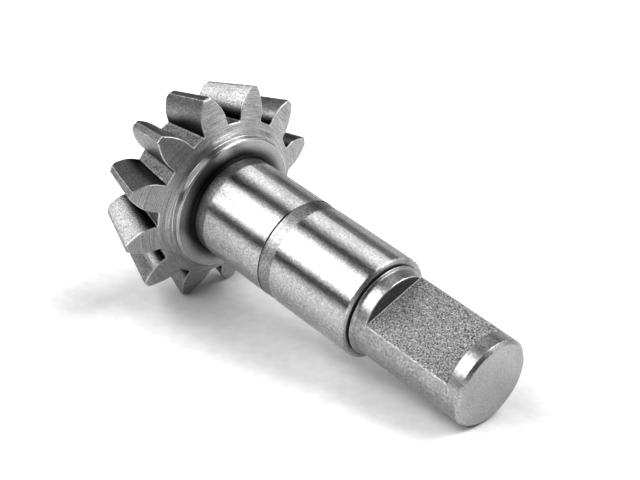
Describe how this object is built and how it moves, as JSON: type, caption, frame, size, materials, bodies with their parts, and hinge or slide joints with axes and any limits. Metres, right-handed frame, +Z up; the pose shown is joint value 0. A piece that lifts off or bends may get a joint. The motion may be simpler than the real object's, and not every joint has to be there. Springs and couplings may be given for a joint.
{
  "type": "bevel gear",
  "caption": "Straight bevel pinion made solid with its shaft: tapered teeth, stepped hub, ground journals and a tail with a drive flat.",
  "frame": {"origin": "middle of the box's underside, on the surface that the pinion lies on", "axes": "+Z up; X along the pinion, with +X towards the tail's end face and -X towards the teeth; the shaft rises towards the teeth in the XZ plane"},
  "size_m": [0.0342, 0.0174, 0.0171],
  "materials": {
    "steel": "satin, ground bright on the journals"
  },
  "bodies": {
    "root": {"bevel_pinion": "steel"}
  },
  "joints": []
}
